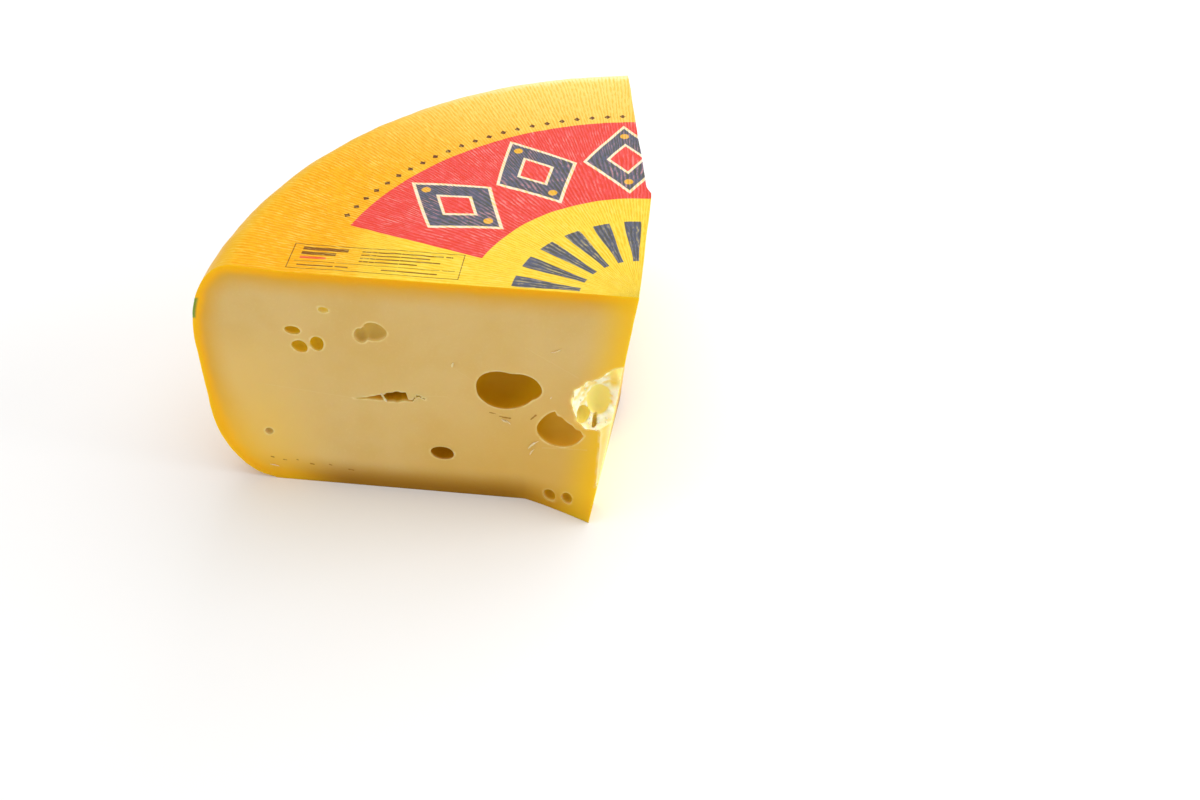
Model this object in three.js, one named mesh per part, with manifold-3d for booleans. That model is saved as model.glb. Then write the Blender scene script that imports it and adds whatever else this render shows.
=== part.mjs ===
// A quarter of a round of semi-hard cheese with eyes, in millimetres, +Z up.
// It rests on the flat base of the wheel. The printed rind is on top and round the side. Two knife cuts
// meet near the wheel's axis: the front cut faces -Y and the right cut faces +X. The whole quarter is one solid.
import * as THREE from "three";
import { mergeVertices } from "three/addons/utils/BufferGeometryUtils.js";
import Module from "manifold-3d";

const wasm = await Module();
wasm.setup();

// ---- Driving dimensions -------------------------------------------------------------------------------

// The wheel: a 330 mm round with elliptical corners and a low lip near the rim of its top.
const WHEEL_RADIUS = 164.8;
const TOP_HEIGHT = 104.4;
const LIP_RISE = 1.2;
const LIP_INNER_RADIUS = 122;
const TOP_CORNER = { inward: 20, down: 40 };
const BASE_CORNER = { inward: 22, up: 36 };

// Where the wheel's axis stands, so that the part's origin is the middle of its base.
const WHEEL_AXIS = { x: 82.4, y: -76.4 };

// The front cut is flat, apart from the toe where the knife ran forward at the foot of the corner.
const TOE = { reach: 10.2, height: 32, innerX: -44, outerX: -17, curve: 1.15 };

// The right cut was made in two strokes that meet at a bend, with a small step, and it leans in at the foot.
const RIGHT_CUT = {
  bendY: 63,
  stepDepth: 1.4,
  stepLength: 5,
  top: { startX: 0, slope: -0.025, slopePastBend: -0.195 },
  foot: { startX: -16.6, slope: 0.06, slopePastBend: -0.13 },
};

// Eyes, from the photographed face: place on the cut, half-width and half-height of the mouth, and depth.
// Bulge is how much wider the hollow is inside than at its mouth, and sides is how finely it is faceted.
const FRONT_EYES = [
  { along: -49.6, up: 56.1, half: [10.4, 9.1], depth: 13, bulge: 1.1, sides: 36 },
  { along: -43.4, up: 57.9, half: [7.9, 6.9], depth: 10, bulge: 1.08, sides: 28 },
  { along: -126.3, up: 77.9, half: [3.1, 2.0], depth: 3.6, bulge: 1.05, sides: 14 },
  { along: -124.6, up: 70.4, half: [3.0, 2.9], depth: 3.8, bulge: 1.05, sides: 16 },
  { along: -118.0, up: 72.0, half: [2.7, 3.3], depth: 3.8, bulge: 1.05, sides: 16 },
  { along: -101.0, up: 77.6, half: [2.8, 3.4], depth: 2.6, bulge: 1, sides: 16 },
  { along: -96.0, up: 79.8, half: [4.5, 4.4], depth: 2.7, bulge: 1, sides: 20 },
  { along: -113.6, up: 88.3, half: [2.1, 1.4], depth: 1.2, bulge: 1, sides: 12 },
  { along: -75.0, up: 21.4, half: [4.8, 3.4], depth: 7, bulge: 1.1, sides: 20 },
  { along: -33.3, up: 6.4, half: [2.7, 2.9], depth: 3, bulge: 1, sides: 14 },
  { along: -26.2, up: 7.6, half: [2.3, 2.5], depth: 2.6, bulge: 1, sides: 14 },
  { along: -143.0, up: 25.5, half: [1.7, 1.7], depth: 1.6, bulge: 1, sides: 12 },
];
const RIGHT_EYES = [
  { along: 61, up: 64, half: [11.0, 9.2], depth: 12, bulge: 1.1, sides: 32 },
  { along: 30, up: 33, half: [8.2, 7.4], depth: 9, bulge: 1.08, sides: 24 },
  { along: 112, up: 47, half: [7.0, 6.0], depth: 8, bulge: 1.08, sides: 24 },
  { along: 120, up: 42, half: [4.2, 3.8], depth: 5, bulge: 1, sides: 16 },
  { along: 84, up: 27, half: [4.6, 3.4], depth: 6, bulge: 1.05, sides: 18 },
  { along: 102, up: 76, half: [3.8, 3.2], depth: 5, bulge: 1.05, sides: 16 },
  { along: 39, up: 83, half: [2.9, 2.2], depth: 4, bulge: 1, sides: 14 },
  { along: 139, up: 66, half: [3.2, 2.7], depth: 4, bulge: 1.05, sides: 14 },
  { along: 72, up: 86, half: [2.0, 1.7], depth: 2.4, bulge: 1, sides: 12 },
];
const EYE_WAVINESS = 0.035;

// The eye that a thin flap of paste half covers, below the torn corner.
const FLAPPED_EYE = { along: -28.4, up: 39.2, half: [9.4, 8.8], depth: 10, bulge: 1.05, sides: 32 };
const FLAP = { along: -21.6, up: 47.4, length: 40, width: 14, thickness: 30, tilt: -46 };

// A split in the paste: a narrow wedge at the left, then a gaping block, then a hairline tail at the right.
const CRACK = {
  start: { x: -107.4, z: 46.4 },
  end: { x: -79.5, z: 50.4 },
  wedge: { until: 0.42, open: 3.0 },
  block: { until: 0.78, open: 4.8 },
  tail: { open: 1.0 },
  depth: 13,
  stations: 30,
};

// The chunk torn out of the corner: two overlapping bites over a nearly level floor, and the four small
// hollows that they opened.
const TORN_BITES = [
  { x: -8, y: -3, z: 50, radii: [17, 14.5, 16], sides: 32 },
  { x: -3, y: -3, z: 60, radii: [12, 13, 13.5], sides: 26 },
];
const TORN_FLOOR = { z: 40.2, tilt: -6 };
const TORN_LUMPS = 0.04;
const TORN_EYES = [
  { x: -14.6, y: 8, z: 48.4, radii: [5.2, 4.4, 7], sides: 22 },
  { x: -21.4, y: 4, z: 44, radii: [3.3, 4.4, 3.3], sides: 18 },
  { x: -16.5, y: 4.8, z: 40.4, radii: [0.9, 3.4, 4], sides: 12 },
  { x: -3.6, y: 7.5, z: 61, radii: [4.6, 6.8, 12], sides: 22 },
];

// The sliver that came away below the chunk. It left a facet down the corner's edge, which narrows to a
// point at footZ. Slant is how much the facet turns towards the front cut.
const SLIVER = { footZ: 10, fullZ: 41, fullWidth: 3.5, slant: 0.8, topZ: 60 };

// ---- Small helpers ------------------------------------------------------------------------------------

const lerp = THREE.MathUtils.lerp;
const smooth = (value, from, to) => THREE.MathUtils.smoothstep(value, from, to);

// A closed geometry as a solid for cutting and joining, without the triangles that shrink to a line.
function solidFrom(geometry) {
  const bare = geometry.clone();
  for (const name of Object.keys(bare.attributes)) if (name !== "position") bare.deleteAttribute(name);
  const merged = mergeVertices(bare, 1e-4);
  const corners = [];
  const index = merged.index.array;
  for (let i = 0; i < index.length; i += 3) {
    const [a, b, c] = index.slice(i, i + 3);
    if (a !== b && b !== c && c !== a) corners.push(a, b, c);
  }
  return new wasm.Manifold(
    new wasm.Mesh({
      numProp: 3,
      vertProperties: Float32Array.from(merged.attributes.position.array),
      triVerts: Uint32Array.from(corners),
    }),
  );
}

function union(solids) {
  return solids.reduce((all, solid) => all.add(solid));
}

function geometryFrom(solid) {
  const mesh = solid.getMesh();
  const geometry = new THREE.BufferGeometry();
  geometry.setAttribute("position", new THREE.BufferAttribute(mesh.vertProperties, 3));
  geometry.setIndex(new THREE.BufferAttribute(mesh.triVerts, 1));
  geometry.computeVertexNormals();
  return geometry;
}

// Moves every vertex of a geometry to where place(vertex) puts it.
function reshape(geometry, place) {
  const position = geometry.attributes.position;
  const vertex = new THREE.Vector3();
  for (let i = 0; i < position.count; i += 1) {
    place(vertex.fromBufferAttribute(position, i));
    position.setXYZ(i, vertex.x, vertex.y, vertex.z);
  }
  return geometry;
}

// ---- The wheel ----------------------------------------------------------------------------------------

// Half of the wheel's section as (radius, height), from the middle of the base round to the middle of the top.
function wheelProfile() {
  const CORNER_STEPS = 9;
  const LIP_STEPS = 4;
  const lipHeight = TOP_HEIGHT + LIP_RISE;
  const shoulderRadius = WHEEL_RADIUS - TOP_CORNER.inward;
  const points = [new THREE.Vector2(0, 0)];
  for (let i = 0; i <= CORNER_STEPS; i += 1) {
    const angle = (Math.PI / 2) * (i / CORNER_STEPS - 1);
    const radius = WHEEL_RADIUS - BASE_CORNER.inward * (1 - Math.cos(angle));
    points.push(new THREE.Vector2(radius, BASE_CORNER.up * (1 + Math.sin(angle))));
  }
  for (let i = 0; i <= CORNER_STEPS; i += 1) {
    const angle = (Math.PI / 2) * (i / CORNER_STEPS);
    const radius = WHEEL_RADIUS - TOP_CORNER.inward * (1 - Math.cos(angle));
    points.push(new THREE.Vector2(radius, lipHeight - TOP_CORNER.down * (1 - Math.sin(angle))));
  }
  for (let i = 1; i <= LIP_STEPS; i += 1) {
    const radius = lerp(shoulderRadius, LIP_INNER_RADIUS, i / LIP_STEPS);
    const rise = LIP_RISE * smooth(radius, LIP_INNER_RADIUS, shoulderRadius);
    points.push(new THREE.Vector2(radius, TOP_HEIGHT + rise));
  }
  points.push(new THREE.Vector2(0, TOP_HEIGHT));
  return points;
}

function wheel() {
  const SEGMENTS = 132;
  return solidFrom(new THREE.LatheGeometry(wheelProfile(), SEGMENTS).rotateX(Math.PI / 2));
}

// ---- The two knife cuts -------------------------------------------------------------------------------

// How far forward (-Y) the front cut stands at a place on it.
function frontCutY(x, z) {
  const acrossToe = THREE.MathUtils.clamp((x - TOE.innerX) / (TOE.outerX - TOE.innerX), 0, 1);
  const downToe = 1 - smooth(z, 0, TOE.height);
  return -TOE.reach * acrossToe ** TOE.curve * downToe;
}

// X of the right cut along one level edge of it.
function rightEdgeX(edge, y) {
  const beforeBend = Math.min(y, RIGHT_CUT.bendY);
  const pastBend = Math.max(y - RIGHT_CUT.bendY, 0);
  const step = RIGHT_CUT.stepDepth * smooth(pastBend, 0, RIGHT_CUT.stepLength);
  return edge.startX + edge.slope * beforeBend + edge.slopePastBend * pastBend - step;
}

function rightCutX(y, z) {
  return lerp(rightEdgeX(RIGHT_CUT.foot, y), rightEdgeX(RIGHT_CUT.top, y), z / TOP_HEIGHT);
}

// A block larger than the wheel on every side but two, where the knife cuts bound it.
function cutBlock() {
  const CLEARANCE = 12;
  const SEGMENTS = { x: 28, y: 32, z: 10 };
  const farX = -WHEEL_RADIUS - CLEARANCE;
  const farY = WHEEL_RADIUS + CLEARANCE;
  const block = new THREE.BoxGeometry(1, 1, 1, SEGMENTS.x, SEGMENTS.y, SEGMENTS.z).translate(0.5, 0.5, 0.5);
  reshape(block, (vertex) => {
    const [u, v] = [vertex.x, vertex.y];
    vertex.z = lerp(-CLEARANCE, TOP_HEIGHT + CLEARANCE, vertex.z);
    const roughX = lerp(farX, rightCutX(0, vertex.z), u);
    vertex.y = lerp(frontCutY(roughX, vertex.z), farY, v);
    vertex.x = lerp(farX, rightCutX(vertex.y, vertex.z), u);
  });
  return solidFrom(block);
}

// ---- Eyes, crack and torn corner ----------------------------------------------------------------------

// A ball with poles on the Y axis, slightly out of round as gas bubbles in the paste are.
function unevenBall(sides, waviness, seed) {
  const ball = new THREE.SphereGeometry(1, sides, Math.max(6, Math.round(sides / 2)));
  return reshape(ball, (vertex) => {
    const turn = 2 * vertex.x + 3 * vertex.z + seed;
    const wave = Math.sin(turn) + Math.cos(2.3 * vertex.x * vertex.y - 1.9 * vertex.z + 2 * seed);
    vertex.multiplyScalar(1 + waviness * wave);
  });
}

// The hollow of one eye, ready to be cut, with the middle of its mouth and the direction into the paste.
function eye({ half, depth, bulge, sides }, mouth, inward, seed) {
  const sink = Math.sqrt(1 - 1 / bulge ** 2);
  const reach = depth / (1 + sink);
  const ball = unevenBall(sides, EYE_WAVINESS, seed);
  ball.scale(half[0] * bulge, reach, half[1] * bulge);
  ball.applyQuaternion(new THREE.Quaternion().setFromUnitVectors(new THREE.Vector3(0, 1, 0), inward));
  const centre = mouth.clone().addScaledVector(inward, reach * sink);
  return solidFrom(ball.translate(centre.x, centre.y, centre.z));
}

function frontEye(spec, seed) {
  const mouth = new THREE.Vector3(spec.along, frontCutY(spec.along, spec.up), spec.up);
  return eye(spec, mouth, new THREE.Vector3(0, 1, 0), seed);
}

function rightEye(spec, seed) {
  const mouth = new THREE.Vector3(rightCutX(spec.along, spec.up), spec.along, spec.up);
  return eye(spec, mouth, new THREE.Vector3(-1, 0, 0), seed);
}

// The half-covered eye, less the slanting flap of paste that stays over its upper right.
function flappedEye() {
  const flap = new THREE.BoxGeometry(FLAP.length, FLAP.thickness, FLAP.width)
    .rotateY(THREE.MathUtils.degToRad(-FLAP.tilt))
    .translate(FLAP.along, 0, FLAP.up);
  return frontEye(FLAPPED_EYE, 5).subtract(solidFrom(flap));
}

// How far the crack gapes at a share t of its length.
function crackOpening(t) {
  const { wedge, block, tail } = CRACK;
  const BLEND = 0.03;
  const ragged = 1 + 0.12 * Math.sin(23 * t) + 0.08 * Math.cos(51 * t);
  const inWedge = wedge.open * (Math.min(t, wedge.until) / wedge.until);
  const inTail = tail.open * Math.min(1, 1.3 - t);
  const toBlock = lerp(inWedge, block.open, smooth(t, wedge.until, wedge.until + 2 * BLEND));
  return ragged * lerp(toBlock, inTail, smooth(t, block.until, block.until + BLEND));
}

// The crack, cut straight into the paste behind its outline on the front cut.
function crack() {
  const HAIRLINE = 0.12;
  const lips = { upper: [], lower: [] };
  for (let i = 0; i <= CRACK.stations; i += 1) {
    const t = i / CRACK.stations;
    const half = Math.max(HAIRLINE, crackOpening(t)) / 2;
    const x = lerp(CRACK.start.x, CRACK.end.x, t);
    const z = lerp(CRACK.start.z, CRACK.end.z, t);
    lips.upper.push(new THREE.Vector2(x, z + half));
    lips.lower.push(new THREE.Vector2(x, z - half));
  }
  const outline = new THREE.Shape([...lips.lower, ...lips.upper.reverse()]);
  const slit = new THREE.ExtrudeGeometry(outline, { depth: 2 * CRACK.depth, bevelEnabled: false });
  return solidFrom(slit.rotateX(Math.PI / 2).translate(0, CRACK.depth, 0));
}

function ellipsoidAt({ x, y, z, radii, sides }, waviness, seed) {
  return solidFrom(unevenBall(sides, waviness, seed).scale(...radii).translate(x, y, z));
}

// What was pulled off the corner, with the small hollows behind it.
function tornCorner() {
  const FLOOR_SPAN = 80;
  const bites = TORN_BITES.map((spec, i) => ellipsoidAt(spec, TORN_LUMPS, 1.3 + i));
  const floor = new THREE.BoxGeometry(FLOOR_SPAN, FLOOR_SPAN, FLOOR_SPAN)
    .rotateX(THREE.MathUtils.degToRad(TORN_FLOOR.tilt))
    .translate(0, 0, TORN_FLOOR.z - FLOOR_SPAN / 2);
  const aboveFloor = union(bites).subtract(solidFrom(floor));
  return union([aboveFloor, ...TORN_EYES.map((spec, i) => ellipsoidAt(spec, EYE_WAVINESS, i))]);
}

// What lies outside the sliver's facet: a box that is bent along the corner's edge.
function sliver() {
  const HALF_ACROSS = 9;
  const OUTWARD = 7;
  const STATIONS = 14;
  const along = new THREE.Vector3(SLIVER.slant, 1, 0).normalize();
  const outward = new THREE.Vector3(1, -SLIVER.slant, 0).normalize();
  const box = new THREE.BoxGeometry(1, 1, 1, 1, 1, STATIONS).translate(0, 0, 0.5);
  reshape(box, (vertex) => {
    const [across, out] = [2 * HALF_ACROSS * vertex.x, OUTWARD * (0.5 - vertex.y)];
    const z = lerp(SLIVER.footZ, SLIVER.topZ, vertex.z);
    const width = SLIVER.fullWidth * ((z - SLIVER.footZ) / (SLIVER.fullZ - SLIVER.footZ));
    const cornerY = frontCutY(rightCutX(0, z), z);
    vertex.set(rightCutX(cornerY, z) - width, cornerY, z);
    vertex.addScaledVector(along, across).addScaledVector(outward, out);
  });
  return solidFrom(box);
}

// ---- The quarter --------------------------------------------------------------------------------------

function quarter() {
  const hollows = [
    ...FRONT_EYES.map(frontEye),
    ...RIGHT_EYES.map(rightEye),
    flappedEye(),
    crack(),
    tornCorner(),
    sliver(),
  ];
  return wheel().intersect(cutBlock()).subtract(union(hollows));
}

const paste = new THREE.MeshStandardMaterial({ color: 0xe6bd62, roughness: 0.5, metalness: 0 });

const cheese = new THREE.Mesh(geometryFrom(quarter()), paste);
cheese.name = "cheese";
cheese.position.set(WHEEL_AXIS.x, WHEEL_AXIS.y, 0);

const part = new THREE.Group();
part.add(cheese);

export default part;
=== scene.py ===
import math

import bmesh
import bpy
import numpy as np
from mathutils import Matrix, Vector


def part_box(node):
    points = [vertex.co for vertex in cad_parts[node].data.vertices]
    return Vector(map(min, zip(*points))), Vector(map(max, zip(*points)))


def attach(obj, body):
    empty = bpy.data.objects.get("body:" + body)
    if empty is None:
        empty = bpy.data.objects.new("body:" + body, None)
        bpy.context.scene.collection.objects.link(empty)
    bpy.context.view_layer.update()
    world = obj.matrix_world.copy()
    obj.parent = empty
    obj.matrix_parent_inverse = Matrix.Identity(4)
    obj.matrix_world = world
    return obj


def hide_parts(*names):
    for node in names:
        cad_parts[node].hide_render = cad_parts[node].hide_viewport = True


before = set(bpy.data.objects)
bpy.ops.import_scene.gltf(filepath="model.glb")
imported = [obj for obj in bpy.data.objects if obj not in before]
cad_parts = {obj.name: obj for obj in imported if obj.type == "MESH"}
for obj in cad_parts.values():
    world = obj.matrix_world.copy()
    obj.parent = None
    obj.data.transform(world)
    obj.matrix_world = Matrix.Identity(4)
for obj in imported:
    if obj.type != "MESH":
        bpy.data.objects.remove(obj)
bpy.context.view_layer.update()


# ---- The quarter's form -------------------------------------------------------------------------------
# A quarter of a pressed round of semi-hard cheese. The wheel is flat above and below with soft elliptical
# corners and a low lip. A knife made the front cut, and two strokes of it the right cut, which leans in.

# Sizes are in millimetres and places are from the wheel's axis. Z is the height above the base.
WHEEL_RADIUS = 164.8
TOP_HEIGHT = 104.4
LIP_RISE = 1.2
LIP_INNER_RADIUS = 122
TOP_CORNER = (20, 40)
BASE_CORNER = (22, 36)
TOE = dict(reach=10.2, height=32, inner_x=-44, outer_x=-17, curve=1.15)
RIGHT_TOP = dict(start=0.0, slope=-0.025, past_bend=-0.195)
RIGHT_FOOT = dict(start=-16.6, slope=0.06, past_bend=-0.13)
BEND_Y, STEP_DEPTH, STEP_LENGTH = 63, 1.4, 5

MM = 0.001
lowest_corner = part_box("cheese")[0]
axis_x = lowest_corner[0] / MM + WHEEL_RADIUS
axis_y = -76.4


def smooth(value, start, end):
    t = np.clip((value - start) / (end - start), 0, 1)
    return t * t * (3 - 2 * t)


def corner_field(r, z, centre_r, centre_z, radial, vertical):
    """Rough distance in mm outside a corner that is a quarter of an ellipse."""
    u = np.maximum(r - centre_r, 0) / radial
    v = np.maximum(z - centre_z, 0) / vertical
    q = np.maximum(np.hypot(u, v), 0.05)
    return (q - 1) * q / np.maximum(np.hypot(u / radial, v / vertical), 0.05 / vertical)


def wheel_field(x, y, z):
    """Distance in mm outside the whole wheel's skin, negative inside it."""
    r = np.hypot(x, y)
    lip_height = TOP_HEIGHT + LIP_RISE
    top_r, top_z = WHEEL_RADIUS - TOP_CORNER[0], lip_height - TOP_CORNER[1]
    base_r, base_z = WHEEL_RADIUS - BASE_CORNER[0], BASE_CORNER[1]
    top = z - TOP_HEIGHT - LIP_RISE * smooth(r, LIP_INNER_RADIUS, top_r)
    flat = np.maximum(np.maximum(r - WHEEL_RADIUS, top), -z)
    upper = corner_field(r, z, top_r, top_z, *TOP_CORNER)
    lower = corner_field(r, -z, base_r, -base_z, *BASE_CORNER)
    field = np.where((r > top_r) & (z > top_z), upper, flat)
    return np.where((r > base_r) & (z < base_z), lower, field)


def front_cut_y(x, z):
    across = np.clip((x - TOE["inner_x"]) / (TOE["outer_x"] - TOE["inner_x"]), 0, 1)
    return -TOE["reach"] * across ** TOE["curve"] * (1 - smooth(z, 0, TOE["height"]))


def right_edge_x(edge, y):
    past = np.maximum(y - BEND_Y, 0)
    step = STEP_DEPTH * smooth(past, 0, STEP_LENGTH)
    return edge["start"] + edge["slope"] * np.minimum(y, BEND_Y) + edge["past_bend"] * past - step


def right_cut_x(y, z):
    foot = right_edge_x(RIGHT_FOOT, y)
    return foot + (right_edge_x(RIGHT_TOP, y) - foot) * z / TOP_HEIGHT


# ---- Eyes ---------------------------------------------------------------------------------------------
# Gas in the ripening paste blew these round hollows, and the knife opened them. Each is a slightly uneven
# ball: where its mouth is on the cut, half the mouth's width and height, its depth, and its bulge inside.

FRONT_EYES = [
    dict(along=-49.6, up=56.1, half=(10.4, 9.1), depth=13, bulge=1.1),
    dict(along=-43.4, up=57.9, half=(7.9, 6.9), depth=10, bulge=1.08),
    dict(along=-126.3, up=77.9, half=(3.1, 2.0), depth=3.6, bulge=1.05),
    dict(along=-124.6, up=70.4, half=(3.0, 2.9), depth=3.8, bulge=1.05),
    dict(along=-118.0, up=72.0, half=(2.7, 3.3), depth=3.8, bulge=1.05),
    dict(along=-101.0, up=77.6, half=(2.8, 3.4), depth=2.6, bulge=1),
    dict(along=-96.0, up=79.8, half=(4.5, 4.4), depth=2.7, bulge=1),
    dict(along=-113.6, up=88.3, half=(2.1, 1.4), depth=1.2, bulge=1),
    dict(along=-75.0, up=21.4, half=(4.8, 3.4), depth=7, bulge=1.1),
    dict(along=-33.3, up=6.4, half=(2.7, 2.9), depth=3, bulge=1),
    dict(along=-26.2, up=7.6, half=(2.3, 2.5), depth=2.6, bulge=1),
    dict(along=-143.0, up=25.5, half=(1.7, 1.7), depth=1.6, bulge=1),
]
RIGHT_EYES = [
    dict(along=61, up=64, half=(11.0, 9.2), depth=12, bulge=1.1),
    dict(along=30, up=33, half=(8.2, 7.4), depth=9, bulge=1.08),
    dict(along=112, up=47, half=(7.0, 6.0), depth=8, bulge=1.08),
    dict(along=120, up=42, half=(4.2, 3.8), depth=5, bulge=1),
    dict(along=84, up=27, half=(4.6, 3.4), depth=6, bulge=1.05),
    dict(along=102, up=76, half=(3.8, 3.2), depth=5, bulge=1.05),
    dict(along=39, up=83, half=(2.9, 2.2), depth=4, bulge=1),
    dict(along=139, up=66, half=(3.2, 2.7), depth=4, bulge=1.05),
    dict(along=72, up=86, half=(2.0, 1.7), depth=2.4, bulge=1),
]
FLAPPED_EYE = dict(along=-28.4, up=39.2, half=(9.4, 8.8), depth=10, bulge=1.05)
FLAP_NORMAL, FLAP_LIMIT = (0.70, 0.714), 12.4
EYE_WAVINESS = 0.035


def ball_field(x, y, z, centre, radii, waviness, seed):
    """Rough distance in mm outside a slightly uneven ellipsoid, with the shape that the solid has."""
    u, v, w = (x - centre[0]) / radii[0], (y - centre[1]) / radii[1], (z - centre[2]) / radii[2]
    q = np.maximum(np.sqrt(u * u + v * v + w * w), 1e-3)
    nx, ny, nz = u / q, v / q, w / q
    wave = np.sin(2 * nx + 3 * nz + seed) + np.cos(2.3 * nx * ny - 1.9 * nz + 2 * seed)
    slope = np.sqrt((u / radii[0]) ** 2 + (v / radii[1]) ** 2 + (w / radii[2]) ** 2)
    return (q / (1 + waviness * wave) - 1) * q / np.maximum(slope, 1e-3)


def blend_hollows(a, b, reach):
    """The smaller of two fields, eased over reach mm, so that two hollows meet in a soft ridge."""
    t = np.clip(0.5 + (b - a) / (2 * reach), 0, 1)
    return b + (a - b) * t - reach * t * (1 - t)


def eye_ball(spec):
    """How far in an eye's middle lies, and its radii along the cut, into the paste and upwards."""
    sink = math.sqrt(1 - 1 / spec["bulge"] ** 2)
    reach = spec["depth"] / (1 + sink)
    half_width, half_height = spec["half"]
    return reach * sink, (half_width * spec["bulge"], reach, half_height * spec["bulge"])


def front_eye_field(x, y, z, spec, seed):
    inward, radii = eye_ball(spec)
    centre = (spec["along"], float(front_cut_y(spec["along"], spec["up"])) + inward, spec["up"])
    return ball_field(x, y, z, centre, radii, EYE_WAVINESS, seed)


def right_eye_field(x, y, z, spec, seed):
    inward, radii = eye_ball(spec)
    centre = (spec["along"], float(right_cut_x(spec["along"], spec["up"])) - inward, spec["up"])
    # The ball is turned a quarter about Z, so its own X runs along the cut and its Y into the paste.
    return ball_field(y, 2 * centre[1] - x, z, centre, radii, EYE_WAVINESS, seed)


def flapped_eye_field(x, y, z):
    across_flap = FLAP_NORMAL[0] * x + FLAP_NORMAL[1] * z - FLAP_LIMIT
    ragged = 0.25 * np.sin(1.1 * x - 0.9 * z) + 0.12 * np.sin(2.7 * x + 1.3 * y)
    return np.maximum(front_eye_field(x, y, z, FLAPPED_EYE, 5), across_flap + ragged)


# ---- Split and torn corner ----------------------------------------------------------------------------
# The paste split along a curd seam: a narrow wedge, a gaping block and a hairline tail. At the corner a
# chunk was pulled off. It left crumbly paste with four small eyes in it, and took a sliver of the edge below.

# The wedge and the block end at shares of the split's length, and each gives way to the next within a step.
CRACK = dict(start=(-107.4, 46.4), end=(-79.5, 50.4), wedge=0.42, wedge_open=3.0, wedge_step=0.06, block=0.74,
             block_open=4.8, block_step=0.03, tail_open=1.3, depth=13, reach=16)
TAIL_X = (-87.4, -84.4, -82.9, -81.6, -79.9)
TAIL_Z = (47.3, 47.5, 49.9, 50.1, 48.9)
TORN_BITES = [
    dict(centre=(-8, -3, 50), radii=(17, 14.5, 16)),
    dict(centre=(-3, -3, 60), radii=(12, 13, 13.5)),
]
TORN_FLOOR_Z, TORN_FLOOR_TILT, TORN_LUMPS, TORN_BLEND, TORN_EYE_BLEND = 40.2, math.radians(-6), 0.04, 2.0, 0.5
TORN_PLACE, TORN_REACH = (-8, 0, 54), 24
TORN_EYES = [
    dict(centre=(-14.6, 8.0, 48.4), radii=(5.2, 4.4, 7.0)),
    dict(centre=(-21.4, 4.0, 44.0), radii=(3.3, 4.4, 3.3)),
    dict(centre=(-16.5, 4.8, 40.4), radii=(0.9, 3.4, 4.0)),
    dict(centre=(-3.6, 7.5, 61), radii=(4.6, 6.8, 12)),
]
SLIVER = dict(foot_z=10, tip_z=15.5, full_z=41, full_width=3.5, slant=0.8, top_z=60)
SLIVER_PLACE, SLIVER_REACH = (-8, 0, 34), 20


def crack_field(x, y, z):
    length = CRACK["end"][0] - CRACK["start"][0]
    t = (x - CRACK["start"][0]) / length
    past_wedge = smooth(t, CRACK["wedge"], CRACK["wedge"] + CRACK["wedge_step"])
    past_block = smooth(t, CRACK["block"], CRACK["block"] + CRACK["block_step"])
    middle = CRACK["start"][1] + (CRACK["end"][1] - CRACK["start"][1]) * t
    middle = middle + (np.interp(x, TAIL_X, TAIL_Z) - middle) * past_block
    ragged = 1 + 0.12 * np.sin(23 * t) + 0.08 * np.cos(51 * t)
    opening = CRACK["wedge_open"] * np.minimum(t, CRACK["wedge"]) / CRACK["wedge"]
    opening = opening + (CRACK["block_open"] - opening) * past_wedge
    tail = CRACK["tail_open"] * np.minimum(1, 1.6 - t)
    opening = opening + (tail - opening) * past_block
    narrowing = np.clip(1 - y / CRACK["depth"], 0, 1) ** 0.5
    ends = np.maximum(-t, t - 1) * length
    return np.maximum(np.abs(z - middle) - ragged * opening * narrowing / 2, ends)


def sliver_field(x, y, z):
    """Distance in mm behind the facet that the sliver left, which runs down the corner's edge to a point."""
    width = SLIVER["full_width"] * (z - SLIVER["foot_z"]) / (SLIVER["full_z"] - SLIVER["foot_z"])
    across = right_cut_x(y, z) - x + SLIVER["slant"] * (y - front_cut_y(x, z))
    ends = np.maximum(z - SLIVER["top_z"], SLIVER["tip_z"] - z)
    return np.maximum((across - width) / math.hypot(1, SLIVER["slant"]), ends)


def bite_field(x, y, z):
    bites = [
        ball_field(x, y, z, bite["centre"], bite["radii"], TORN_LUMPS, 1.3 + i)
        for i, bite in enumerate(TORN_BITES)
    ]
    floor = TORN_FLOOR_Z + y * math.tan(TORN_FLOOR_TILT) - z
    return np.maximum(blend_hollows(*bites, TORN_BLEND), floor)


def torn_field(x, y, z):
    field = bite_field(x, y, z)
    for i, spec in enumerate(TORN_EYES):
        hollow = ball_field(x, y, z, spec["centre"], spec["radii"], EYE_WAVINESS, i)
        field = blend_hollows(field, hollow, TORN_EYE_BLEND)
    return field


def hollow_fields():
    """Every hollow: its field, and the middle and reach in mm of the space that it takes."""
    hollows = []
    for seed, spec in enumerate(FRONT_EYES):
        place = (spec["along"], float(front_cut_y(spec["along"], spec["up"])), spec["up"])
        hollows.append((lambda x, y, z, s=spec, n=seed: front_eye_field(x, y, z, s, n), place, spec["depth"]))
    for seed, spec in enumerate(RIGHT_EYES):
        place = (float(right_cut_x(spec["along"], spec["up"])), spec["along"], spec["up"])
        hollows.append((lambda x, y, z, s=spec, n=seed: right_eye_field(x, y, z, s, n), place, spec["depth"]))
    hollows.append((flapped_eye_field, (FLAPPED_EYE["along"], 0, FLAPPED_EYE["up"]), FLAPPED_EYE["depth"]))
    middle = [(a + b) / 2 for a, b in zip(CRACK["start"], CRACK["end"])]
    hollows.append((crack_field, (middle[0], 0, middle[1]), CRACK["reach"]))
    hollows.append((torn_field, TORN_PLACE, TORN_REACH))
    hollows.append((sliver_field, SLIVER_PLACE, SLIVER_REACH))
    return hollows


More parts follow.
